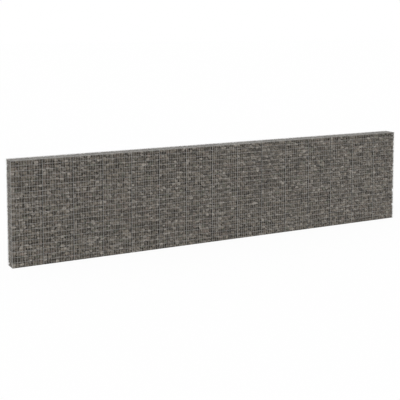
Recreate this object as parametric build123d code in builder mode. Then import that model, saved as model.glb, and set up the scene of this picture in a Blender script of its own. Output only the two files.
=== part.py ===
from build123d import *
import os

# Free-standing gabion wall: fifteen stone-filled bays caged in welded wire panels.
# Frame: origin at the middle of the base, X along the wall, front towards -Y, Z up. Millimetres.

# Driving dimensions of the wall.
WALL_LENGTH = 9000.0
WALL_DEPTH = 300.0
WALL_HEIGHT = 2000.0
BAY_COUNT = 15
BAYS_PER_GROUP = 3

# Welded mesh: thin uprights lie outside stouter rails and are welded to them where they cross.
# The covers are of rail wire both ways.
UPRIGHT_WIRE = 3.0
RAIL_WIRE = 4.0
CELL_WIDTH = 50.0
CELL_HEIGHT = 100.0
# Of the mesh, every fourth upright and every fourth rail of a face panel are solids here.
UPRIGHT_STEP = 4
RAIL_STEP = 4

# Room between neighbouring panels, how far the covers reach past them, and the worn corners of the fill.
PANEL_GAP = 2.0
SEAT_GAP = 0.5
COVER_REACH = 3.0
FILL_CORNER = 14.0

# Sizes worked out from the driving dimensions.
BAY_WIDTH = WALL_LENGTH / BAY_COUNT
PANEL_THICKNESS = UPRIGHT_WIRE + RAIL_WIRE
WELD_STEP = PANEL_THICKNESS / 2
PANEL_WIDTH = BAY_WIDTH - PANEL_GAP
PANEL_HEIGHT = WALL_HEIGHT - 2 * RAIL_WIRE
CAGE_DEPTH = WALL_DEPTH - 2 * COVER_REACH
CAGE_LENGTH = WALL_LENGTH - 2 * COVER_REACH
FILL_DEPTH = CAGE_DEPTH - 2 * PANEL_THICKNESS
CROSS_PANEL_DEPTH = FILL_DEPTH - 2 * SEAT_GAP
BAYS = range(BAY_COUNT)
FRONT, BACK = -1, 1
LEFT, RIGHT = -1, 1


def bay_centre(bay):
    """X of the middle of a bay, counted from 0 at the left end."""
    return (bay + 0.5) * BAY_WIDTH - WALL_LENGTH / 2


def write(node, name):
    """Labels a finished piece and writes its STEP file."""
    node.part.label = name
    export_step(node.part, f"parts/{name}.step")


def panel_span(bay):
    """Left and right edge of a bay's panels, which stop short of the covers at the wall's two ends."""
    left = bay_centre(bay) - PANEL_WIDTH / 2
    right = bay_centre(bay) + PANEL_WIDTH / 2
    return max(left, -CAGE_LENGTH / 2), min(right, CAGE_LENGTH / 2)


def upright_places(bay):
    """X of the modelled uprights of a bay's panels, with the outer two flush with the panel's edges."""
    left, right = panel_span(bay)
    joint = bay_centre(bay) - BAY_WIDTH / 2
    cells = round(BAY_WIDTH / CELL_WIDTH)
    inner = [joint + count * CELL_WIDTH for count in range(UPRIGHT_STEP, cells, UPRIGHT_STEP)]
    return [left + UPRIGHT_WIRE / 2, *inner, right - UPRIGHT_WIRE / 2]


def rail_heights():
    """Heights of the modelled rails, with the lowest on the ground and the highest at the panel's top."""
    cells = round(WALL_HEIGHT / CELL_HEIGHT)
    inner = [count * CELL_HEIGHT for count in range(RAIL_STEP, cells, RAIL_STEP)]
    return [RAIL_WIRE / 2, *inner, PANEL_HEIGHT - RAIL_WIRE / 2]


# Front and back panel of one bay: uprights on the outside, rails against the stone.
def face_panel(bay, side):
    upright_y = side * (CAGE_DEPTH - UPRIGHT_WIRE) / 2
    rail_y = upright_y - side * WELD_STEP
    left, right = panel_span(bay)
    with BuildPart() as panel:
        with BuildSketch(Plane.XY):
            with Locations(*[(x, upright_y) for x in upright_places(bay)]):
                Rectangle(UPRIGHT_WIRE, UPRIGHT_WIRE)
        extrude(amount=PANEL_HEIGHT)
        with BuildSketch(Plane.YZ.offset(left)):
            with Locations(*[(rail_y, z) for z in rail_heights()]):
                Rectangle(RAIL_WIRE, RAIL_WIRE)
        extrude(amount=right - left)
    return panel


# Panels set across the wall: the two ends, and the partitions between the bays.
def cross_panels(places, upright_y):
    """places holds one (upright x, rail x) pair for each panel."""
    with BuildPart() as panels:
        with BuildSketch(Plane.XY):
            with Locations(*[(x, y) for x, _ in places for y in upright_y]):
                Rectangle(UPRIGHT_WIRE, UPRIGHT_WIRE)
        extrude(amount=PANEL_HEIGHT)
        with BuildSketch(Plane.XZ.offset(-CROSS_PANEL_DEPTH / 2)):
            with Locations(*[(x, z) for _, x in places for z in rail_heights()]):
                Rectangle(RAIL_WIRE, RAIL_WIRE)
        extrude(amount=CROSS_PANEL_DEPTH)
    return panels


def end_panel(side):
    upright_x = side * (CAGE_LENGTH - UPRIGHT_WIRE) / 2
    edge = (CROSS_PANEL_DEPTH - UPRIGHT_WIRE) / 2
    return cross_panels([(upright_x, upright_x - side * WELD_STEP)], [-edge, 0, edge])


def partition_panels():
    joints = [bay_centre(bay) + BAY_WIDTH / 2 for bay in BAYS[:-1]]
    edge = (CROSS_PANEL_DEPTH - UPRIGHT_WIRE) / 2
    return cross_panels([(x - RAIL_WIRE / 2, x + UPRIGHT_WIRE / 2) for x in joints], [-edge, edge])


def cover_span(bay):
    """Left and right edge of a bay's cover, which reaches to the wall's full length at its two ends."""
    left = -WALL_LENGTH / 2 if bay == BAYS[0] else bay_centre(bay) - PANEL_WIDTH / 2
    right = WALL_LENGTH / 2 if bay == BAYS[-1] else bay_centre(bay) + PANEL_WIDTH / 2
    return left, right


# Covers that close the top: long wires above, short wires resting on the panels and the stone.
def cover_panels(bays):
    edge = (WALL_DEPTH - RAIL_WIRE) / 2
    with BuildPart() as covers:
        for bay in bays:
            left, right = cover_span(bay)
            with BuildSketch(Plane.YZ.offset(left)):
                with Locations(*[(y, WALL_HEIGHT - RAIL_WIRE / 2) for y in (-edge, 0, edge)]):
                    Rectangle(RAIL_WIRE, RAIL_WIRE)
            extrude(amount=right - left)
        ends = [cover_span(bay) for bay in bays]
        short_x = [x for left, right in ends for x in (left + RAIL_WIRE / 2, right - RAIL_WIRE / 2)]
        with BuildSketch(Plane.XZ.offset(-WALL_DEPTH / 2)):
            with Locations(*[(x, PANEL_HEIGHT + RAIL_WIRE / 2) for x in short_x]):
                Rectangle(RAIL_WIRE, RAIL_WIRE)
        extrude(amount=WALL_DEPTH)
    return covers


def fill_span(bay):
    """Left and right face of a bay's stone, between its partitions or the wall's end panel."""
    left = bay_centre(bay) - BAY_WIDTH / 2 + PANEL_THICKNESS / 2
    right = bay_centre(bay) + BAY_WIDTH / 2 - PANEL_THICKNESS / 2
    reach = CAGE_LENGTH / 2 - PANEL_THICKNESS
    return max(left, -reach), min(right, reach)


# Packed stone, one mass in each bay, with its upright corners worn back so that the bay joints show.
def stone_fill(bays):
    with BuildPart() as fill:
        for bay in bays:
            left, right = fill_span(bay)
            with BuildSketch(Plane.XY):
                with Locations(((left + right) / 2, 0)):
                    Rectangle(right - left, FILL_DEPTH)
            extrude(amount=PANEL_HEIGHT)
        chamfer(fill.edges().filter_by(Axis.Z), FILL_CORNER)
    return fill


def main():
    os.makedirs("parts", exist_ok=True)
    for bay in BAYS:
        write(face_panel(bay, FRONT), f"front_panel_{bay + 1:02d}")
        write(face_panel(bay, BACK), f"back_panel_{bay + 1:02d}")
    write(end_panel(LEFT), "left_end_panel")
    write(end_panel(RIGHT), "right_end_panel")
    write(partition_panels(), "partition_panels")
    for first in BAYS[::BAYS_PER_GROUP]:
        bays = BAYS[first : first + BAYS_PER_GROUP]
        span = f"bays_{bays[0] + 1:02d}_to_{bays[-1] + 1:02d}"
        write(stone_fill(bays), f"stone_fill_{span}")
        write(cover_panels(bays), f"cover_panels_{span}")


main()
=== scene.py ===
"""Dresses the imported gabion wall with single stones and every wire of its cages, in a plain studio."""
import logging
from dataclasses import dataclass
from enum import Enum
from math import pi, radians
from typing import ClassVar, Optional, Sequence, Union

import bpy
import numpy as np
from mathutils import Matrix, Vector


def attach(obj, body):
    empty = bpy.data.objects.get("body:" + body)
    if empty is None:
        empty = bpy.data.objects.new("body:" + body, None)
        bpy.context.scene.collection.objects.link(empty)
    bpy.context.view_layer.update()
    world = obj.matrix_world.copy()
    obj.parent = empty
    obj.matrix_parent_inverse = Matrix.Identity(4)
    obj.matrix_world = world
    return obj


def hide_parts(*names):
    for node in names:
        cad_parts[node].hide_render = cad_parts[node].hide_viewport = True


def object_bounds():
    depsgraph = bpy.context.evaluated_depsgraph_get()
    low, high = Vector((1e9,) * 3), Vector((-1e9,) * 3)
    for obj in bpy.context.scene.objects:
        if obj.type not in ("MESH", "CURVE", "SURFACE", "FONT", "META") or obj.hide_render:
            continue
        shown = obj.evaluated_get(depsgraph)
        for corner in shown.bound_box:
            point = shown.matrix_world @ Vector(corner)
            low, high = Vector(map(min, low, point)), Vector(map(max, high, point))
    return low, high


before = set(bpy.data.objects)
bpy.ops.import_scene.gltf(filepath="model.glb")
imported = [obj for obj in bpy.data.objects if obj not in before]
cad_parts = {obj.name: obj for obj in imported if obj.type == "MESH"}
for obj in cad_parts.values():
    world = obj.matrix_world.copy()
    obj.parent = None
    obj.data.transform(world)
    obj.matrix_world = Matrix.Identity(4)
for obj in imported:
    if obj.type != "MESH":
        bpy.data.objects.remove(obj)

CAD_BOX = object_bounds()
log = logging.getLogger("gabion_wall")
Array = np.ndarray
Chance = np.random.Generator
Material = bpy.types.Material
Piece = bpy.types.Object
Socket = bpy.types.NodeSocket
Number = Union[float, Array]
Span = tuple[float, float]
Colour = tuple[float, float, float]


# Sizes

def outer_size(axis: int) -> float:
    """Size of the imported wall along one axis, to the micrometre."""
    return round(float(CAD_BOX[1][axis] - CAD_BOX[0][axis]), 6)


def bay_count() -> int:
    """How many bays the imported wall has, by its front panels."""
    return sum(node.startswith("front_panel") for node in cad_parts)


@dataclass(frozen=True)
class WallSizes:
    """Sizes in metres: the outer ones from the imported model, the rest as in the part's source."""

    length: float = outer_size(0)
    depth: float = outer_size(1)
    height: float = outer_size(2)
    bays: int = bay_count()
    bays_per_group: int = 3
    upright_wire: float = 0.003
    rail_wire: float = 0.004
    cell_width: float = 0.05
    cell_height: float = 0.1
    panel_gap: float = 0.002
    seat_gap: float = 0.0005
    cover_reach: float = 0.003
    weld_sink: float = 0.0005

    @property
    def bay_width(self) -> float:
        """Length of one bay."""
        return self.length / self.bays

    @property
    def panel_thickness(self) -> float:
        """Thickness of a panel: an upright and a rail."""
        return self.upright_wire + self.rail_wire

    @property
    def weld_step(self) -> float:
        """Distance between the middles of an upright and the rail it is welded to."""
        return self.panel_thickness / 2 - self.weld_sink

    @property
    def panel_height(self) -> float:
        """Height of the upright panels, which the covers of rail wire lie on."""
        return self.height - 2 * self.rail_wire

    @property
    def cage_half_depth(self) -> float:
        """Distance from the middle of the wall to the outside of the uprights."""
        return self.depth / 2 - self.cover_reach

    @property
    def cage_half_length(self) -> float:
        """Distance from the middle of the wall to the outside of the end panels."""
        return self.length / 2 - self.cover_reach

    @property
    def cross_half_depth(self) -> float:
        """Half the width of an end panel or a partition, and half the depth of the stones."""
        return self.cage_half_depth - self.panel_thickness - self.seat_gap

    def bay_centre(self, bay: int) -> float:
        """X of the middle of a bay, counted from 0 at the left end."""
        return (bay + 0.5) * self.bay_width - self.length / 2

    def bay_joints(self) -> Array:
        """X of every joint between two bays."""
        return np.arange(1, self.bays) * self.bay_width - self.length / 2

    def bay_span(self, bay: int, gap: float, reach: float) -> Span:
        """Width of what fills a bay, such as its panels, its cover or its stones.

        Args:
            bay: the bay, counted from 0 at the left end.
            gap: room between it and its like in the next bay.
            reach: distance from the wall's middle to its edge at the wall's ends.

        Returns:
            X of its left and right edges.
        """
        half = (self.bay_width - gap) / 2
        left = -reach if bay == 0 else self.bay_centre(bay) - half
        right = reach if bay == self.bays - 1 else self.bay_centre(bay) + half
        return left, right

    def fill_box(self, bay: int) -> tuple[Array, Array]:
        """Space that a bay's stones fill, between its partitions or the wall's end panel.

        Args:
            bay: the bay, counted from 0.

        Returns:
            Its lowest and its highest corner.
        """
        reach = self.cage_half_length - self.panel_thickness
        left, right = self.bay_span(bay, self.panel_thickness, reach)
        deep, top = self.cross_half_depth, self.panel_height - self.seat_gap
        return np.array([left, -deep, 0.0]), np.array([right, deep, top])

    def groups(self) -> list[range]:
        """Bays that share one node, from left to right."""
        step = self.bays_per_group
        return [range(first, first + step) for first in range(0, self.bays, step)]


SIZES = WallSizes()


class Side(Enum):
    """The two long faces, by the sign of their Y."""

    FRONT = -1
    BACK = 1


class End(Enum):
    """The two short ends, by the sign of their X."""

    LEFT = -1
    RIGHT = 1


def group_name(bays: range) -> str:
    """Words for a group of bays, as the nodes have them."""
    return f"bays_{bays[0] + 1:02d}_to_{bays[-1] + 1:02d}"


# Surfaces

NO_TRIANGLES = np.zeros((0, 3), dtype=int)


@dataclass
class Surface:
    """Points and faces of closed shapes, with one colour a point where the shapes have their own."""

    points: Array
    quads: Array
    triangles: Array
    colours: Optional[Array] = None

    @staticmethod
    def joined(parts: Sequence["Surface"]) -> "Surface":
        """Puts several surfaces into one.

        Args:
            parts: the surfaces, which all have colours or all have none.

        Returns:
            One surface with the faces counted on.
        """
        starts = np.cumsum([0] + [len(part.points) for part in parts[:-1]])
        colours = None
        if parts[0].colours is not None:
            colours = np.concatenate([part.colours for part in parts])
        return Surface(
            np.concatenate([part.points for part in parts]),
            np.concatenate([part.quads + start for part, start in zip(parts, starts)]),
            np.concatenate([part.triangles + start for part, start in zip(parts, starts)]),
            colours,
        )

    def to_piece(self, name: str, sharp_angle: float = 30.0) -> Piece:
        """Makes a mesh object at the origin.

        Args:
            name: the piece's name.
            sharp_angle: angle in degrees from which an edge between two faces stays crisp.

        Returns:
            The object, linked to the scene.
        """
        mesh = bpy.data.meshes.new(name)
        loops = np.concatenate([self.quads.ravel(), self.triangles.ravel()]).astype(np.int32)
        sizes = np.concatenate([np.full(len(self.quads), 4), np.full(len(self.triangles), 3)])
        loop_starts = np.concatenate([[0], np.cumsum(sizes)[:-1]]).astype(np.int32)
        mesh.vertices.add(len(self.points))
        mesh.vertices.foreach_set("co", self.points.astype(np.float32).ravel())
        mesh.loops.add(len(loops))
        mesh.loops.foreach_set("vertex_index", loops)
        mesh.polygons.add(len(sizes))
        mesh.polygons.foreach_set("loop_start", loop_starts)
        mesh.update(calc_edges=True)
        mesh.polygons.foreach_set("use_smooth", np.ones(len(sizes), dtype=bool))
        mesh.set_sharp_from_angle(angle=radians(sharp_angle))
        if self.colours is not None:
            # stone_tone holds each stone's own colour, and for the heart the painted shade of the deeper
            # stones.
            tone = mesh.attributes.new("stone_tone", "FLOAT_COLOR", "POINT")
            rgba = np.concatenate([self.colours, np.ones((len(self.colours), 1))], axis=1)
            tone.data.foreach_set("color", rgba.astype(np.float32).ravel())
        mesh.validate()
        piece = bpy.data.objects.new(name, mesh)
        bpy.context.scene.collection.objects.link(piece)
        return piece


def unit(vectors: Array) -> Array:
    """Directions of vectors: each one over its own length."""
    return vectors / np.linalg.norm(vectors, axis=-1, keepdims=True)


def points_at(x: Number, y: Number, z: Number) -> Array:
    """Points in rows, from coordinates that are numbers or arrays, each spread over the others."""
    return np.stack(np.broadcast_arrays(x, y, z), axis=-1).reshape(-1, 3)


def repeated_faces(faces: Array, points_each: int, count: int) -> Array:
    """Faces of one shape, counted on for each of many like shapes.

    Args:
        faces: the faces of one shape.
        points_each: points in one shape.
        count: how many shapes there are.

    Returns:
        The faces of all of them.
    """
    starts = np.arange(count) * points_each
    return (faces[None, :, :] + starts[:, None, None]).reshape(-1, faces.shape[1])


def grid_faces(rows: int, sides: int, closed: bool) -> Array:
    """Four-sided faces between the rows of a grid whose rows are rings.

    Args:
        rows: rings in the grid.
        sides: points in a ring.
        closed: whether the last ring also meets the first.

    Returns:
        The faces.
    """
    row, side = np.meshgrid(np.arange(rows if closed else rows - 1), np.arange(sides), indexing="ij")
    here, there = row * sides, (row + 1) % rows * sides
    after = (side + 1) % sides
    return np.stack([here + side, there + side, there + after, here + after], axis=2).reshape(-1, 4)


def ball_faces(rings: int, sides: int) -> tuple[Array, Array]:
    """Faces of one ball-like grid of rings between two poles, which are its last two points.

    Args:
        rings: rings between the poles.
        sides: points in a ring.

    Returns:
        The four-sided faces between the rings, and the three-sided ones at the poles.
    """
    here = np.arange(sides)
    after = (here + 1) % sides
    first, last = rings * sides, rings * sides + 1
    last_ring = (rings - 1) * sides
    near = np.stack([np.full(sides, first), here, after], axis=1)
    far = np.stack([last_ring + here, np.full(sides, last), last_ring + after], axis=1)
    return grid_faces(rings, sides, closed=False), np.concatenate([near, far])


@dataclass(frozen=True)
class Wires:
    """Straight wires of one thickness, by their first and last points."""

    starts: Array
    ends: Array
    thickness: float


def round_bars(wires: Wires) -> Surface:
    """Round profile of eight sides carried along straight paths.

    A point is the path's start or end, plus the radius times the cosine of a turn in one direction
    across the path and its sine in the other. Each end is closed by three flat faces.

    Args:
        wires: the paths and their thickness.

    Returns:
        The surface of all the bars.
    """
    sides = 8
    nearly_upright = 0.9
    along = unit(wires.ends - wires.starts)
    upright = np.abs(along[:, 2:3]) > nearly_upright
    across = unit(np.cross(np.where(upright, [[1.0, 0.0, 0.0]], [[0.0, 0.0, 1.0]]), along))
    other = np.cross(along, across)
    turn = ((np.arange(sides) + 0.5) * 2 * pi / sides)[None, :, None]
    ring = across[:, None, :] * np.cos(turn) + other[:, None, :] * np.sin(turn)
    ring *= wires.thickness / 2
    points = np.stack([wires.starts[:, None, :] + ring, wires.ends[:, None, :] + ring], axis=1)
    here = np.arange(sides)
    after = (here + 1) % sides
    walls = np.stack([here, after, after + sides, here + sides], axis=1)
    caps = np.array([[0, 1, 2, 3], [0, 3, 4, 7], [4, 5, 6, 7]])
    faces = np.concatenate([walls, caps[:, ::-1], caps + sides])
    return Surface(points.reshape(-1, 3), repeated_faces(faces, 2 * sides, len(points)), NO_TRIANGLES)


def oval_rings(centres: Array, half_x: float, half_y: float, radius: float) -> Surface:
    """Round profile carried along a level oval.

    A point is the ring's centre, plus the oval's half widths times the cosine and sine of one turn, plus
    the wire's radius times the cosine of a second turn outwards and its sine upwards.

    Args:
        centres: middle of each ring.
        half_x: half the oval's width along X, at the middle of its wire.
        half_y: half the oval's width along Y, at the middle of its wire.
        radius: half the wire's thickness.

    Returns:
        The surface of all the rings.
    """
    steps, sides = 12, 6
    turn = np.arange(steps) * 2 * pi / steps
    around = (np.arange(sides) * 2 * pi / sides)[None, :, None]
    out = unit(np.stack([np.cos(turn) / half_x, np.sin(turn) / half_y], axis=1))
    path = np.stack([half_x * np.cos(turn), half_y * np.sin(turn)], axis=1)
    level = path[:, None, :] + radius * np.cos(around) * out[:, None, :]
    rise = np.broadcast_to(radius * np.sin(around), (steps, sides, 1))
    shape = np.concatenate([level, rise], axis=2).reshape(-1, 3)
    points = centres[:, None, :] + shape[None, :, :]
    quads = repeated_faces(grid_faces(steps, sides, closed=True), steps * sides, len(centres))
    return Surface(points.reshape(-1, 3), quads, NO_TRIANGLES)


def gathered_at_bends(path: Array, angle: Array, weight: Array, shares: Array) -> Array:
    """Angles along sampled outlines, gathered where the outline bends.

    Each stretch of an outline counts for the turn it makes, plus a little for its own sake, times a
    weight. An angle lies where the running sum of these reaches its share of the whole.

    Args:
        path: points of each outline in its own plane, in rows.
        angle: angle of each point, from the outline's middle.
        weight: how much a bend at each inner point counts.
        shares: shares of the running sum, rising, for each outline.

    Returns:
        One angle for each share.
    """
    straight_share = 0.25
    gap = angle[1] - angle[0]
    step = np.diff(path, axis=1)
    heading = np.unwrap(np.arctan2(step[..., 1], step[..., 0]), axis=1)
    bend = (np.abs(np.diff(heading, axis=1)) + straight_share * gap) * weight
    total = np.cumsum(bend, axis=1)
    total /= total[:, -1:]
    after = (total[:, None, :] >= shares[:, :, None]).argmax(axis=2)
    low = np.where(after > 0, np.take_along_axis(total, np.maximum(after - 1, 0), axis=1), 0.0)
    high = np.take_along_axis(total, after, axis=1)
    return angle[1] + (after - 0.5 + (shares - low) / (high - low)) * gap


@dataclass
class CutStones:
    """Angular stones, each a function of a tilt and a turn about its own middle.

    Along a direction, a stone ends where the sum over its cutting planes of (normal dot direction over
    reach) to a high power is one. That is the nearest plane, with the edges between planes a little worn.
    The tilts and turns of a stone's grid gather at its own edges, and more on the side that faces out of
    the wall.

    Attributes:
        centres: middle of each stone, in metres.
        scale: metres to one unit of the planes' space, along X, Y and Z.
        normals: unit normals of each stone's cutting planes.
        reach: distance of each plane from the stone's middle.
        sides: points in a ring of a stone's grid.
        ring_shares: where the rings lie, as shares of the bends from the outer pole to the inner one.
        first_side: between which shares of a side the first turn lies.
        wear: the power, which is higher for sharper edges.
        turn_samples, tilt_samples: samples of the outlines around a stone and from pole to pole.
        outline_tilt: tilt in degrees at which the outline around a stone is read.
        outer_tilt: tilt in degrees past which a bend counts for inner_weight only.
    """

    centres: Array
    scale: Array
    normals: Array
    reach: Array
    sides: int = 9
    ring_shares: tuple[float, ...] = (0.15, 0.36, 0.58, 0.86)
    first_side: Span = (0.2, 0.8)
    wear: float = 24.0
    turn_samples: int = 72
    tilt_samples: int = 40
    outline_tilt: float = 70.0
    outer_tilt: float = 95.0
    inner_weight: float = 0.4

    def directions(self, tilt: Array, turn: Array) -> Array:
        """Unit directions at tilts from the way out of the wall, and turns around it.

        Args:
            tilt: tilts of each stone, in rows.
            turn: turns of each stone, in rows of the same length.

        Returns:
            One direction for each pair.
        """
        out = np.where(self.centres[:, 1:2] > self.scale[1] / 2, -1.0, 1.0)
        across = np.sin(tilt) * np.cos(turn)
        return np.stack([out * across, -out * np.cos(tilt), np.sin(tilt) * np.sin(turn)], axis=2)

    def lengths(self, direction: Array) -> Array:
        """Distance of each stone's surface from its middle along directions."""
        facing = np.einsum("nki,nmi->nkm", self.normals, direction) / self.reach[:, :, None]
        return (np.clip(facing, 0.0, None) ** self.wear).sum(axis=1) ** (-1.0 / self.wear)

    def turns(self, random: Chance) -> Array:
        """Turns of each stone's grid, gathered at the corners of its outline seen from outside the wall.

        Args:
            random: the source of chance, for where the first turn lies.

        Returns:
            The turns of each stone, in rows.
        """
        count = len(self.centres)
        turn = np.arange(self.turn_samples + 2) * 2 * pi / self.turn_samples
        around = np.broadcast_to(turn, (count, len(turn)))
        tilt = np.full_like(around, radians(self.outline_tilt))
        length = self.lengths(self.directions(tilt, around))
        path = np.stack([length * np.cos(around), length * np.sin(around)], axis=2)
        shares = np.arange(self.sides)[None, :] + random.uniform(*self.first_side, (count, 1))
        return gathered_at_bends(path, turn, np.ones(len(turn) - 2), shares / self.sides)

    def tilts(self, turn: Array) -> Array:
        """Tilts of the grid's rings on each turn, gathered at the edges of the stone's outer face.

        Args:
            turn: the turns of each stone, in rows.

        Returns:
            The tilts, by stone, turn and ring.
        """
        count, sides = turn.shape
        tilt = np.linspace(0.0, pi, self.tilt_samples)
        samples = (count, sides, len(tilt))
        down = np.broadcast_to(tilt, samples).reshape(count, -1)
        around = np.broadcast_to(turn[:, :, None], samples).reshape(count, -1)
        length = self.lengths(self.directions(down, around)).reshape(-1, len(tilt))
        path = np.stack([length * np.sin(tilt), length * np.cos(tilt)], axis=2)
        weight = np.where(tilt[1:-1] < radians(self.outer_tilt), 1.0, self.inner_weight)
        shares = np.broadcast_to(self.ring_shares, (count * sides, len(self.ring_shares)))
        return gathered_at_bends(path, tilt, weight, shares).reshape(count, sides, -1)

    def surface(self, random: Chance) -> Surface:
        """Works out all the stones.

        Args:
            random: the source of chance.

        Returns:
            Their surface.
        """
        count, rings = len(self.centres), len(self.ring_shares)
        turn = self.turns(random)
        tilt = self.tilts(turn).transpose(0, 2, 1).reshape(count, -1)
        grid = self.directions(tilt, np.tile(turn, (1, rings)))
        pole = np.broadcast_to([0.0, pi], (count, 2))
        direction = np.concatenate([grid, self.directions(pole, np.zeros_like(pole))], axis=1)
        points = self.centres[:, None, :] + self.scale * self.lengths(direction)[:, :, None] * direction
        quads, triangles = (repeated_faces(faces, direction.shape[1], count)
                            for faces in ball_faces(rings, self.sides))
        return Surface(points.reshape(-1, 3), quads, triangles)


# Finishes

WHITE = (1.0, 1.0, 1.0, 1.0)


def about_one(amount: float) -> Span:
    """Range from an amount below one to as much above it."""
    return 1 - amount, 1 + amount


class Shader:
    """The node tree of a material or the world, with short calls to add nodes and link them."""

    def __init__(self, owner: Union[Material, bpy.types.World]) -> None:
        """Starts the owner's tree with no nodes."""
        owner.use_nodes = True
        self.tree = owner.node_tree
        self.tree.nodes.clear()

    def node(self, kind: str, inputs: Optional[dict] = None, **settings: object) -> bpy.types.Node:
        """Adds a node.

        Args:
            kind: the node's type, without the word ShaderNode.
            inputs: values, or sockets to link from, by input name or number.
            settings: the node's own properties.

        Returns:
            The node.
        """
        node = self.tree.nodes.new(f"ShaderNode{kind}")
        for key, value in settings.items():
            setattr(node, key, value)
        for key, value in (inputs or {}).items():
            if isinstance(value, Socket):
                self.tree.links.new(value, node.inputs[key])
            else:
                node.inputs[key].default_value = value
        return node

    def place(self) -> Socket:
        """Object coordinates, in metres."""
        return self.node("TexCoord").outputs["Object"]

    def noise(self, vector: Socket, scale: float, detail: float, ends: Span) -> Socket:
        """Noise stretched to a range of values.

        Args:
            vector: where the noise is read.
            scale: its fineness, in waves to a metre.
            detail: how many finer layers it has.
            ends: values at its dark and its light end.

        Returns:
            The value's socket.
        """
        noise = self.node("TexNoise", {"Vector": vector, "Scale": scale, "Detail": detail, "Roughness": 0.6})
        spread = self.node("MapRange", {"Value": noise.outputs["Fac"], "From Min": 0.3, "From Max": 0.7,
                                        "To Min": ends[0], "To Max": ends[1]})
        return spread.outputs["Result"]

    def math(self, operation: str, first: object, second: object) -> Socket:
        """Arithmetic on two values or sockets."""
        return self.node("Math", {0: first, 1: second}, operation=operation).outputs[0]

    def bump(self, height: Socket, strength: float, depth: float) -> Socket:
        """Fine relief from a height, up to a depth in metres."""
        relief = self.node("Bump", {"Height": height, "Strength": strength, "Distance": depth})
        return relief.outputs["Normal"]

    def seen_plainly(self) -> Socket:
        """One for rays from the camera and from shiny or clear surfaces, and nought for other rays.

        Returns:
            The value's socket.
        """
        path = self.node("LightPath")
        seen = self.math("MAXIMUM", path.outputs["Is Camera Ray"], path.outputs["Is Glossy Ray"])
        return self.math("MAXIMUM", seen, path.outputs["Is Transmission Ray"])

    def finish(self, shader: bpy.types.Node, output: str = "OutputMaterial") -> None:
        """Links the finished shader to the tree's output."""
        self.node(output, {"Surface": shader.outputs[0]})


@dataclass(frozen=True)
class StoneFinish:
    """Rough broken stone: each stone's own tone, mottled and specked, with a chipped face.

    Fineness is in waves or chips to a metre, and an amount is the share by which it lightens and darkens.
    """

    name: str = "broken_stone"
    mottle: float = 0.40
    mottle_waves: float = 30.0
    speck: float = 0.2
    speck_waves: float = 170.0
    strata: float = 0.1
    strata_waves: tuple[float, float, float] = (9.0, 9.0, 70.0)
    rough: Span = (0.78, 0.95)
    rough_waves: float = 60.0
    chips: float = 42.0
    chip_share: float = 0.6
    chip_depth: float = 0.007
    grain_waves: float = 75.0

    def material(self) -> Material:
        """Builds the material.

        Returns:
            A material that reads the stones' own colours and Object coordinates.
        """
        material = bpy.data.materials.new(self.name)
        shader = Shader(material)
        # The stone_tone attribute: the stones' own colours, and the heart's painted shade.
        tone = shader.node("Attribute", attribute_name="stone_tone").outputs["Color"]
        place = shader.place()
        layers = shader.node("Mapping", {"Vector": place, "Scale": self.strata_waves}).outputs["Vector"]
        mottle = shader.noise(place, self.mottle_waves, detail=4.0, ends=about_one(self.mottle))
        speck = shader.noise(place, self.speck_waves, detail=3.0, ends=about_one(self.speck))
        strata = shader.noise(layers, scale=1.0, detail=3.0, ends=about_one(self.strata))
        shade = shader.math("MULTIPLY", shader.math("MULTIPLY", mottle, speck), strata)
        colour = shader.node("VectorMath", {0: tone, "Scale": shade}, operation="SCALE").outputs[0]
        chips = shader.node("TexVoronoi", {"Vector": place, "Scale": self.chips}).outputs["Distance"]
        grain = shader.node("TexNoise", {"Vector": place, "Scale": self.grain_waves, "Detail": 6.0,
                                         "Roughness": 0.65}).outputs["Fac"]
        relief = shader.math("ADD", shader.math("MULTIPLY", chips, self.chip_share), grain)
        shader.finish(shader.node("BsdfPrincipled", {
            "Base Color": colour,
            "Roughness": shader.noise(place, self.rough_waves, detail=2.0, ends=self.rough),
            "Normal": shader.bump(relief, strength=0.75, depth=self.chip_depth),
            "Specular IOR Level": 0.3,
        }))
        return material


@dataclass(frozen=True)
class ZincFinish:
    """Hot-dip galvanised wire: dull bright zinc with a fine spangle and greyer patches.

    Fineness is in waves or spangles to a metre.
    """

    name: str = "galvanised_wire"
    bright: Colour = (0.565, 0.557, 0.54)
    dull: Colour = (0.40, 0.394, 0.382)
    spangles: float = 240.0
    spangle_share: float = 0.5
    patches: Span = (0.0, 0.7)
    patch_waves: float = 21.0
    rough: Span = (0.36, 0.56)
    rough_waves: float = 90.0
    grain_waves: float = 420.0
    grain_depth: float = 0.0006

    def material(self) -> Material:
        """Builds the material.

        Returns:
            A metal material that reads Object coordinates.
        """
        material = bpy.data.materials.new(self.name)
        shader = Shader(material)
        place = shader.place()
        spangle = shader.node("TexVoronoi", {"Vector": place, "Scale": self.spangles}).outputs["Color"]
        grey = shader.node("RGBToBW", {"Color": spangle}).outputs["Val"]
        patch = shader.noise(place, self.patch_waves, detail=3.0, ends=self.patches)
        share = shader.math("ADD", shader.math("MULTIPLY", grey, self.spangle_share), patch)
        colour = shader.node("Mix", {"Factor": share, 6: (*self.bright, 1.0), 7: (*self.dull, 1.0)},
                             data_type="RGBA").outputs[2]
        grain = shader.node("TexNoise", {"Vector": place, "Scale": self.grain_waves, "Detail": 3.0})
        shader.finish(shader.node("BsdfPrincipled", {
            "Base Color": colour,
            "Metallic": 0.85,
            "Roughness": shader.noise(place, self.rough_waves, detail=2.0, ends=self.rough),
            "Normal": shader.bump(grain.outputs["Fac"], strength=0.25, depth=self.grain_depth),
        }))
        return material


class Zinc(Enum):
    """The wire's two states: clean where it is open to the weather, and among the stones dusty and darkened
    with painted shade.
    """

    CLEAN = ZincFinish()
    # Painted shade with some dust: the partition wires in the shadowed joints between bays are darkened to
    # about a third of clean zinc.
    DUSTY_AND_PAINTED_SHADE = ZincFinish("dusty_wire_painted_shade", bright=(0.19, 0.183, 0.172), dull=(0.135, 0.13, 0.122))


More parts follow.
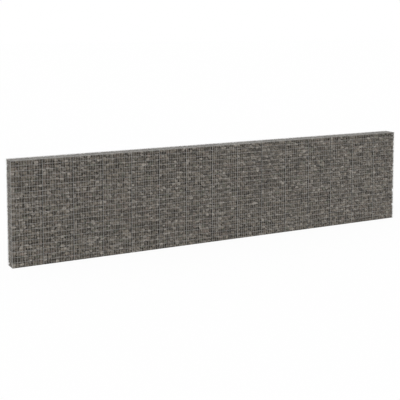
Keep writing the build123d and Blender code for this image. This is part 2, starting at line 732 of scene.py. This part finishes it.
@dataclass(frozen=True)
class FloorFinish:
    """White studio floor that takes a faint shadow."""

    name: str = "studio_floor"
    colour: Colour = (0.95, 0.95, 0.95)
    white_share: float = 0.9

    def material(self) -> Material:
        """Builds the material.

        Returns:
            A matt white that rays from the camera and from shiny surfaces see mixed with plain white.
        """
        material = bpy.data.materials.new(self.name)
        shader = Shader(material)
        share = shader.math("MULTIPLY", shader.seen_plainly(), self.white_share)
        matt = shader.node("BsdfDiffuse", {"Color": (*self.colour, 1.0)})
        white = shader.node("Emission", {"Color": WHITE, "Strength": 1.0})
        shader.finish(shader.node("MixShader", {0: share, 1: matt.outputs[0], 2: white.outputs[0]}))
        return material


@dataclass(frozen=True)
class StonePalette:
    """Tones of the stones, with the share of the fill that has each one.

    Attributes:
        shares: share of the fill with each tone, in the tones' order.
        spread: how much lighter or darker than its tone a stone may be.
        drift_pull: how strongly red-brown stones gather in drifts.
        drift_waves, drift_start: the drifts along the wall and up it, in radians to a metre.
    """

    grey_brown: Colour = (0.132, 0.116, 0.095)
    dark_grey: Colour = (0.080, 0.071, 0.059)
    pale_grey: Colour = (0.190, 0.173, 0.150)
    red_brown: Colour = (0.130, 0.108, 0.091)
    green_grey: Colour = (0.116, 0.112, 0.089)
    shares: tuple[float, ...] = (0.46, 0.24, 0.22, 0.04, 0.04)
    spread: float = 0.35
    drift_pull: float = 1.3
    drift_waves: Span = (1.7, 4.6)
    drift_start: float = 0.8

    def pick(self, centres: Array, random: Chance) -> Array:
        """Picks a tone for each stone, with red-brown stones gathered in drifts along the wall.

        Args:
            centres: middle of each stone.
            random: the source of chance.

        Returns:
            One colour a stone.
        """
        tones = [self.grey_brown, self.dark_grey, self.pale_grey, self.red_brown, self.green_grey]
        chance = np.log(np.array(self.shares))[None, :] + random.gumbel(size=(len(centres), len(tones)))
        along, up = self.drift_waves
        drift = np.sin(along * centres[:, 0] + up * centres[:, 2] + self.drift_start)
        chance[:, tones.index(self.red_brown)] += self.drift_pull * drift
        light = 1.0 + random.uniform(-self.spread, self.spread, len(centres))
        return np.array(tones)[np.argmax(chance, axis=1)] * light[:, None]


# Sub-assemblies

def seat(piece: Piece, material: Material, nodes: Sequence[str] = ()) -> None:
    """Dresses a piece, rides it on the wall and lets it stand for its CAD nodes.

    Args:
        piece: the finished piece.
        material: its material.
        nodes: the CAD nodes that it replaces.
    """
    piece.data.materials.append(material)
    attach(piece, "root")
    if nodes:
        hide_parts(*nodes)
    log.info("%s: %d faces", piece.name, len(piece.data.polygons))


@dataclass(frozen=True)
class StoneRows:
    """Rough courses that a bay's stones lie in, in three layers from front to back.

    Attributes:
        length, depth, course: usual size of a stone along the wall, across it and upwards.
        course_spread: least and greatest height of a course, as shares of the usual one.
        counts: stones in a row, one number picked by chance.
        shift_along, shift_deep, shift_up: chance shifts, in a stone's room, metres and courses.
        wave: height of the wave that a course makes along the bay, in courses.
        wave_turns: radians of the wave along the bay, and from one course to the next.
        edge_room: least distance of a stone's middle from the ground and the cover.
    """

    length: float = 0.069
    depth: float = 0.093
    course: float = 0.045
    course_spread: Span = (0.75, 1.3)
    counts: tuple[int, ...] = (7, 8, 8, 9, 9, 10)
    shift_along: float = 0.24
    shift_deep: float = 0.009
    shift_up: float = 0.13
    wave: float = 0.16
    wave_turns: Span = (6.0, 0.4)
    edge_room: float = 0.015

    @property
    def scale(self) -> Array:
        """Usual size of a stone along X, Y and Z."""
        return np.array([self.length, self.depth, self.course])

    def places(self, bay: int, random: Chance) -> Array:
        """Middles of a bay's stones.

        Args:
            bay: the bay, counted from 0.
            random: the source of chance.

        Returns:
            One point a stone.
        """
        low, high = SIZES.fill_box(bay)
        width, _, tall = high - low
        courses = round(tall / self.course)
        along, up = self.wave_turns
        rows = []
        for layer in (-1, 0, 1):
            sag = random.uniform(0, 2 * pi)
            level = np.cumsum(random.uniform(*self.course_spread, courses))
            for number, middle in enumerate(low[2] + tall * (level - level[0] / 2) / level[-1]):
                count = random.choice(self.counts)
                x = np.arange(count) + 0.5 + random.uniform(-self.shift_along, self.shift_along, count)
                x = x / count
                wave = self.wave * np.sin(along * x + sag + up * number)
                z = middle + self.course * (wave + random.normal(0, self.shift_up, count))
                z = np.clip(z, low[2] + self.edge_room, high[2] - self.edge_room)
                y = layer * self.depth + random.uniform(-self.shift_deep, self.shift_deep, count)
                rows.append(points_at(low[0] + width * x, y, z))
        return np.concatenate(rows)


@dataclass(frozen=True)
class PaintedShadeHeart:
    """Deeper stone behind the outer stones of a bay, on a bed of chips, coloured near black as painted shade
    for the shadow among the deeper stones.

    Attributes:
        depth, top: how far it lies behind the outer faces and below the cover.
        sides, rows: points around it, and rings above the bed.
        bed_rise: heights of the bed's rings and of the lowest ring above it.
        bed_spread: how far each of these reaches towards the outer faces.
        bed_gap: room between the bed and the outer faces.
        squareness: power of the rounded rectangle, which is lower for a squarer one.
        lumps: heights of the coarse and the fine lumps.
        lump_turns, lump_rises: waves of both around it, and up it in radians to a metre.
    """

    depth: float = 0.03
    top: float = 0.02
    # Painted shade: the heart and its bed are near black for the shadow that falls among the deeper stones.
    tone: Colour = (0.03, 0.026, 0.022)
    sides: int = 28
    rows: int = 33
    bed_rise: tuple[float, ...] = (0.001, 0.007, 0.014, 0.03)
    bed_spread: tuple[float, ...] = (1.0, 1.0, 0.5, 0.0)
    bed_gap: float = 0.002
    squareness: float = 0.12
    lumps: Span = (0.004, 0.003)
    lump_turns: tuple[int, int] = (5, 9)
    lump_rises: Span = (61.0, 37.0)

    def lump(self, turn: Array, height: Array, bay: int) -> Array:
        """Height of the lumps: waves around times waves up, plus slanting waves.

        Args:
            turn: turns around the heart.
            height: heights of its rings.
            bay: the bay, counted from 0, which shifts the coarse lumps.

        Returns:
            One height for each ring and turn.
        """
        coarse = np.sin(self.lump_turns[0] * turn + bay) * np.sin(height * self.lump_rises[0])
        fine = np.sin(self.lump_turns[1] * turn - height * self.lump_rises[1])
        return self.lumps[0] * coarse + self.lumps[1] * fine

    def squared(self, wave: Array) -> Array:
        """A cosine or sine drawn out to its ends, which makes a circle a rounded square."""
        return np.sign(wave) * np.abs(wave) ** self.squareness

    def surface(self, bay: int) -> Surface:
        """Works out the heart of one bay.

        Around a turn and up a height, the surface is a rounded rectangle with lumps on its long faces.
        Its foot spreads to the whole bay, and flat fans close it at the top and the bottom.

        Args:
            bay: the bay, counted from 0.

        Returns:
            Its surface.
        """
        low, high = SIZES.fill_box(bay)
        rise = np.linspace(self.bed_rise[-1], high[2] - self.top, self.rows)
        rise = np.concatenate([self.bed_rise[:-1], rise])
        height = rise[:, None]
        inset = 1 - np.interp(rise, self.bed_rise, self.bed_spread)[:, None]
        left = low[0] + self.depth * (bay == 0) * inset
        right = high[0] - self.depth * (bay == SIZES.bays - 1) * inset
        turn = (np.arange(self.sides) * 2 * pi / self.sides)[None, :]
        half_y = high[1] - self.bed_gap + (self.lump(turn, height, bay) - self.depth) * inset
        x = (left + right) / 2 + (right - left) / 2 * self.squared(np.cos(turn))
        grid = points_at(x, half_y * self.squared(np.sin(turn)), height)
        poles = points_at((low[0] + high[0]) / 2, 0.0, rise[[0, -1]])
        points = np.clip(np.concatenate([grid, poles]), low, high)
        quads, triangles = (faces[:, ::-1] for faces in ball_faces(len(rise), self.sides))
        # Painted shade: every point of the heart and its bed carries the near-black tone.
        return Surface(points, quads, triangles, np.tile(self.tone, (len(points), 1)))


@dataclass(frozen=True)
class Contact:
    """How stones lie against a wall of their cage: a gap, a chance set-back and a chance tip."""

    gap: float
    set_back: float
    tip: float
    flat: bool = False


class CageWall(Enum):
    """The kinds of wall that a bay's stones lie against."""

    FACE = Contact(gap=0.0, set_back=0.012, tip=0.16)
    PARTITION_ON_LEFT = Contact(gap=0.002, set_back=0.007, tip=0.08)
    PARTITION_ON_RIGHT = Contact(gap=0.003, set_back=0.008, tip=0.08)
    WALL_END = Contact(gap=0.0, set_back=0.002, tip=0.02, flat=True)
    GROUND = Contact(gap=0.001, set_back=0.0, tip=0.0, flat=True)
    COVER = Contact(gap=0.0, set_back=0.004, tip=0.04, flat=True)


@dataclass
class StoneFill:
    """Loose stones of a group of bays, around a heart of deeper stone coloured near black as painted shade.

    Attributes:
        first_seed: seed of the first bay's chance.
        neighbours: how many neighbours cut a stone.
        weight_spread: spread of the random weights that move the cuts between stones.
        joint_room: least and greatest room in a stone's joints, as a share of its reach.
        chops, chop_reach: how many cuts chop its corners, and how near and far, in stone sizes.
        least_reach: least distance of any cut from a stone's middle, in stone sizes.
        snug_share: share of the set-back that is left at the top and at the wall's ends.
        top_courses, end_stones: how many courses are the top, and how many stones an end.
    """

    bays: range
    rows: StoneRows = StoneRows()
    heart: PaintedShadeHeart = PaintedShadeHeart()
    palette: StonePalette = StonePalette()
    first_seed: int = 4500
    neighbours: int = 18
    weight_spread: float = 0.11
    joint_room: Span = (0.03, 0.10)
    chops: int = 6
    chop_reach: Span = (0.50, 0.75)
    least_reach: float = 0.16
    snug_share: float = 0.2
    top_courses: float = 2.2
    end_stones: float = 1.3
    sharp_angle: float = 38.0

    def walls(self, bay: int) -> list[Contact]:
        """How the stones of a bay lie against its cage.

        Args:
            bay: the bay, counted from 0.

        Returns:
            The contacts on the left, at the front, below, on the right, at the back and above.
        """
        left = CageWall.WALL_END if bay == 0 else CageWall.PARTITION_ON_LEFT
        right = CageWall.WALL_END if bay == SIZES.bays - 1 else CageWall.PARTITION_ON_RIGHT
        order = [left, CageWall.FACE, CageWall.GROUND, right, CageWall.FACE, CageWall.COVER]
        return [wall.value for wall in order]

    def joints(self, places: Array, random: Chance) -> tuple[Array, Array]:
        """Cuts halfway to each stone's neighbours, moved by the two stones' random weights.

        Args:
            places: middles of the stones.
            random: the source of chance.

        Returns:
            Unit normals of the cuts, and their distances from the stones' middles, in stone sizes.
        """
        count = len(places)
        in_stones = places / self.rows.scale
        apart = in_stones[None, :, :] - in_stones[:, None, :]
        square = (apart ** 2).sum(axis=2)
        np.fill_diagonal(square, np.inf)
        near = np.argpartition(square, self.neighbours, axis=1)[:, : self.neighbours]
        stone = np.arange(count)[:, None]
        distance = np.sqrt(square[stone, near])
        weight = random.normal(0.0, self.weight_spread, count)
        middle = (distance ** 2 + weight[:, None] - weight[near]) / (2 * distance)
        room = random.uniform(*self.joint_room, (count, 1))
        return apart[stone, near] / distance[:, :, None], middle * (1 - room)

    def planes(self, places: Array, bay: int, random: Chance) -> tuple[Array, Array]:
        """Cutting planes of every stone.

        Most lie between a stone and its neighbours. Six keep it inside its cage, each set back and tipped
        by chance, and a few more chop its corners. The top courses lie closer to the partitions than the
        others, and the stones at the wall's ends closer to the front and the back.

        Args:
            places: middles of the stones.
            bay: the bay they are in.
            random: the source of chance.

        Returns:
            Unit normals of the planes, and their distances from the stones' middles, in stone sizes.
        """
        count = len(places)
        normals, reach = ([cuts] for cuts in self.joints(places, random))
        chop = random.normal(size=(count, self.chops, 3))
        at_end = self.near_end(places)
        snug = (self.near_top(places), at_end, False)
        for number, (wall, limit) in enumerate(zip(self.walls(bay), np.concatenate(SIZES.fill_box(bay)))):
            axis = number % 3
            sign = -1 if number < 3 else 1
            normal = random.normal(0.0, wall.tip, (count, 1, 3))
            normal[:, 0, axis] = sign
            normals.append(unit(normal))
            back = wall.gap + random.uniform(0.0, wall.set_back, count)
            back = np.where(snug[axis], self.snug_share * back, back)
            room = (sign * (limit - places[:, axis]) - back) / self.rows.scale[axis]
            reach.append(room[:, None])
            square = (room < 1.0) & (wall.flat | at_end)
            chop[square, :, axis] = -sign * np.abs(chop[square, :, axis])
        normals.append(unit(chop))
        reach.append(random.uniform(*self.chop_reach, (count, self.chops)))
        distances = np.clip(np.concatenate(reach, axis=1), self.least_reach, None)
        return np.concatenate(normals, axis=1), distances

    def near_top(self, places: Array) -> Array:
        """Which stones are in the top courses."""
        return places[:, 2] > SIZES.panel_height - self.top_courses * self.rows.course

    def near_end(self, places: Array) -> Array:
        """Which stones lie against the wall's ends."""
        return np.abs(places[:, 0]) > SIZES.cage_half_length - self.end_stones * self.rows.length

    def shown(self, places: Array) -> Array:
        """Which stones can be seen: the front and back layers, the top courses and the wall's ends."""
        face = np.abs(places[:, 1]) > self.rows.depth / 2
        return face | self.near_top(places) | self.near_end(places)

    def stones(self, bay: int) -> Surface:
        """Stones of one bay, each with its own tone.

        Args:
            bay: the bay, counted from 0.

        Returns:
            Their surface.
        """
        random = np.random.default_rng(self.first_seed + bay)
        places = self.rows.places(bay, random)
        normals, reach = self.planes(places, bay, random)
        keep = self.shown(places)
        surface = CutStones(places[keep], self.rows.scale, normals[keep], reach[keep]).surface(random)
        surface.points = np.clip(surface.points, *SIZES.fill_box(bay))
        tones = self.palette.pick(places[keep], random)
        surface.colours = np.repeat(tones, len(surface.points) // len(tones), axis=0)
        return surface

    def build(self) -> Piece:
        """Makes the group's stones as one piece."""
        parts = [part for bay in self.bays for part in (self.stones(bay), self.heart.surface(bay))]
        return Surface.joined(parts).to_piece(f"stones_{group_name(self.bays)}", self.sharp_angle)

    def dress(self, piece: Piece, material: Material) -> None:
        """Gives the stones their finish in place of the CAD fill."""
        seat(piece, material, [f"stone_fill_{group_name(self.bays)}"])


@dataclass
class WirePanel:
    """One welded panel or a row of like panels: uprights outside, rails welded to them on the inside."""

    name: str
    nodes: tuple[str, ...]
    zinc: ClassVar[Zinc] = Zinc.CLEAN
    sharp_angle: ClassVar[float] = 50.0

    def wires(self) -> list[Wires]:
        """Every wire of the piece, by thickness."""
        raise NotImplementedError

    def build(self) -> Piece:
        """Makes the panel's wires as one piece."""
        bars = Surface.joined([round_bars(wires) for wires in self.wires()])
        return bars.to_piece(self.name, self.sharp_angle)

    def dress(self, piece: Piece, material: Material) -> None:
        """Gives the wires their finish in place of the CAD panels."""
        seat(piece, material, self.nodes)


def edge_and_pitch(low: float, high: float, pitch: float, middle: float, wire: float) -> Array:
    """Places of wires across a panel.

    Args:
        low: one edge of the panel.
        high: its other edge.
        pitch: distance between wires.
        middle: a place that the row of wires is counted from.
        wire: the wires' thickness.

    Returns:
        A wire along each edge, and wires at the pitch between them, none of them close to an edge.
    """
    half = wire / 2
    clear = 0.6 * pitch
    count = int((high - low) / pitch) + 2
    row = middle + np.arange(-count, count + 1) * pitch
    inner = row[(row > low + clear) & (row < high - clear)]
    return np.concatenate([[low + half], inner, [high - half]])


def rail_heights() -> Array:
    """Heights of the rails of an upright panel."""
    return edge_and_pitch(0.0, SIZES.panel_height, SIZES.cell_height, 0.0, SIZES.rail_wire)


@dataclass
class FacePanel(WirePanel):
    """Front or back panel of one bay."""

    bay: int
    side: Side

    def wires(self) -> list[Wires]:
        """Every wire of the panel.

        Returns:
            The uprights and the rails.
        """
        left, right = SIZES.bay_span(self.bay, SIZES.panel_gap, SIZES.cage_half_length)
        centre = SIZES.bay_centre(self.bay)
        x = edge_and_pitch(left, right, SIZES.cell_width, centre, SIZES.upright_wire)
        y = self.side.value * (SIZES.cage_half_depth - SIZES.upright_wire / 2)
        rail_y = y - self.side.value * SIZES.weld_step
        z = rail_heights()
        return [
            Wires(points_at(x, y, 0.0), points_at(x, y, SIZES.panel_height), SIZES.upright_wire),
            Wires(points_at(left, rail_y, z), points_at(right, rail_y, z), SIZES.rail_wire),
        ]


@dataclass
class CrossPanels(WirePanel):
    """Panels across the wall, such as an end panel."""

    upright_x: Array
    rail_shift: float

    def wires(self) -> list[Wires]:
        """Every wire of the panels.

        Returns:
            The uprights and the rails.
        """
        deep = SIZES.cross_half_depth
        x = self.upright_x[:, None]
        y = edge_and_pitch(-deep, deep, SIZES.cell_width, 0.0, SIZES.upright_wire)
        rail_x = x + self.rail_shift
        z = rail_heights()
        return [
            Wires(points_at(x, y, 0.0), points_at(x, y, SIZES.panel_height), SIZES.upright_wire),
            Wires(points_at(rail_x, -deep, z), points_at(rail_x, deep, z), SIZES.rail_wire),
        ]


@dataclass
class Partitions(CrossPanels):
    """The panels between the bays."""

    # Painted shade with some dust: the partition wires get the darkened zinc for the shade in the joints.
    zinc: ClassVar[Zinc] = Zinc.DUSTY_AND_PAINTED_SHADE


@dataclass
class CoverPanels(WirePanel):
    """Covers of a group of bays: long wires above, short wires lying on the panels and the stones."""

    bays: range

    def wires(self) -> list[Wires]:
        """Every wire of the covers.

        Returns:
            The long and the short wires, all of rail wire.
        """
        deep = SIZES.depth / 2
        y = edge_and_pitch(-deep, deep, SIZES.cell_width, 0.0, SIZES.rail_wire)
        long_z = SIZES.height - SIZES.rail_wire / 2
        short_z = long_z - SIZES.rail_wire + SIZES.weld_sink
        starts, ends = [], []
        for bay in self.bays:
            left, right = SIZES.bay_span(bay, SIZES.panel_gap, SIZES.length / 2)
            centre = SIZES.bay_centre(bay)
            x = edge_and_pitch(left, right, SIZES.cell_height, centre, SIZES.rail_wire)
            starts += [points_at(left, y, long_z), points_at(x, -deep, short_z)]
            ends += [points_at(right, y, long_z), points_at(x, deep, short_z)]
        return [Wires(np.concatenate(starts), np.concatenate(ends), SIZES.rail_wire)]


@dataclass
class LacingRings:
    """Closed wire rings that tie the edges of neighbouring panels at the bay joints and the corners."""

    first_height: float = 0.15
    spacing: float = 0.2
    wire_radius: float = 0.0014
    sharp_angle: float = 60.0

    def build(self) -> Piece:
        """Makes all the rings as one piece.

        Returns:
            The piece.
        """
        z = np.arange(self.first_height, SIZES.panel_height, self.spacing)
        outer = SIZES.cage_half_depth
        inner = SIZES.cross_half_depth - SIZES.upright_wire
        half_y = (outer - inner) / 2 + self.wire_radius
        y = (outer + inner) / 2 * np.array([[-1.0], [1.0]])
        corner_x = (SIZES.cage_half_length - SIZES.upright_wire / 2) * np.array([-1.0, 1.0])
        joint_reach = SIZES.panel_gap / 2 + SIZES.upright_wire + self.wire_radius
        corner_reach = SIZES.upright_wire / 2 + self.wire_radius
        parts = []
        for x, half_x in ((SIZES.bay_joints(), joint_reach), (corner_x, corner_reach)):
            centres = points_at(x[:, None, None], y, z)
            parts.append(oval_rings(centres, half_x, half_y, self.wire_radius))
        return Surface.joined(parts).to_piece("lacing_rings", self.sharp_angle)

    def dress(self, piece: Piece, material: Material) -> None:
        """Gives the rings the finish of the wires."""
        seat(piece, material)


@dataclass
class Studio:
    """Floor, light and camera, with lengths in metres, angles in degrees and the lens in millimetres."""

    floor_size: float = 400.0
    world_light: float = 0.55
    sun_strength: float = 2.14
    sun_height: float = 42.0
    sun_azimuth: float = -34.0
    sun_angle: float = 45.0
    camera_place: tuple[float, float, float] = (-8.896, -15.546, 4.453)
    camera_azimuth: float = -28.345
    camera_drop: float = 4.872
    camera_sight: float = 1000.0
    sensor_width: float = 36.0
    lens: float = 78.33
    shift_y: float = -0.2516

    def floor(self) -> None:
        """Lays a flat white floor at the wall's foot."""
        corners = np.array([[-1.0, -1.0, 0.0], [1.0, -1.0, 0.0], [1.0, 1.0, 0.0], [-1.0, 1.0, 0.0]])
        sheet = Surface(corners * self.floor_size / 2, np.array([[0, 1, 2, 3]]), NO_TRIANGLES)
        floor = sheet.to_piece("floor")
        floor.data.materials.append(FloorFinish().material())

    def light(self) -> None:
        """Sets an even white world, seen as plain white, and one broad soft sun."""
        world = bpy.data.worlds.new("studio")
        bpy.context.scene.world = world
        sky = Shader(world)
        strength = sky.node("MapRange", {"Value": sky.seen_plainly(), "To Min": self.world_light,
                                         "To Max": 1.0}).outputs["Result"]
        sky.finish(sky.node("Background", {"Color": WHITE, "Strength": strength}), "OutputWorld")
        lamp = bpy.data.lights.new("broad_sun", "SUN")
        lamp.energy = self.sun_strength
        lamp.angle = radians(self.sun_angle)
        sun = bpy.data.objects.new("broad_sun", lamp)
        sun.rotation_euler = (radians(90 - self.sun_height), 0.0, radians(self.sun_azimuth))
        bpy.context.scene.collection.objects.link(sun)

    def camera(self) -> None:
        """Sets the camera at the photograph's viewing angle."""
        data = bpy.data.cameras.new("camera")
        data.sensor_width = self.sensor_width
        data.lens = self.lens
        data.shift_y = self.shift_y
        data.clip_end = self.camera_sight
        camera = bpy.data.objects.new("camera", data)
        camera.location = self.camera_place
        camera.rotation_euler = (radians(90 - self.camera_drop), 0.0, radians(self.camera_azimuth))
        bpy.context.scene.collection.objects.link(camera)
        bpy.context.scene.camera = camera
        bpy.context.scene.view_settings.view_transform = "Standard"

    def build(self) -> None:
        """Makes the whole studio."""
        self.floor()
        self.light()
        self.camera()


def wire_panels() -> list[WirePanel]:
    """Lists every welded panel of the wall.

    Returns:
        The front and back panels, the ends, the partitions and the covers, each from left to right.
    """
    panels: list[WirePanel] = []
    for side in Side:
        word = side.name.lower()
        panels += [FacePanel(f"{word}_mesh_{bay + 1:02d}", (f"{word}_panel_{bay + 1:02d}",), bay, side)
                   for bay in range(SIZES.bays)]
    reach = SIZES.cage_half_length - SIZES.upright_wire / 2
    for end in End:
        word = end.name.lower()
        upright_x = np.array([end.value * reach])
        panels.append(CrossPanels(f"{word}_end_mesh", (f"{word}_end_panel",), upright_x,
                                  -end.value * SIZES.weld_step))
    upright_x = SIZES.bay_joints() - (SIZES.rail_wire - SIZES.weld_sink) / 2
    panels.append(Partitions("partition_mesh", ("partition_panels",), upright_x, SIZES.weld_step))
    for bays in SIZES.groups():
        words = group_name(bays)
        panels.append(CoverPanels(f"cover_mesh_{words}", (f"cover_panels_{words}",), bays))
    return panels


def main() -> None:
    """Builds the stones, the wires and the studio."""
    logging.basicConfig(level=logging.INFO, format="%(name)s %(message)s")
    stone = StoneFinish().material()
    zinc = {state: state.value.material() for state in Zinc}
    for bays in SIZES.groups():
        fill = StoneFill(bays)
        fill.dress(fill.build(), stone)
    for panel in wire_panels():
        panel.dress(panel.build(), zinc[panel.zinc])
    rings = LacingRings()
    rings.dress(rings.build(), zinc[Zinc.CLEAN])
    Studio().build()


if __name__ == "__main__":
    main()
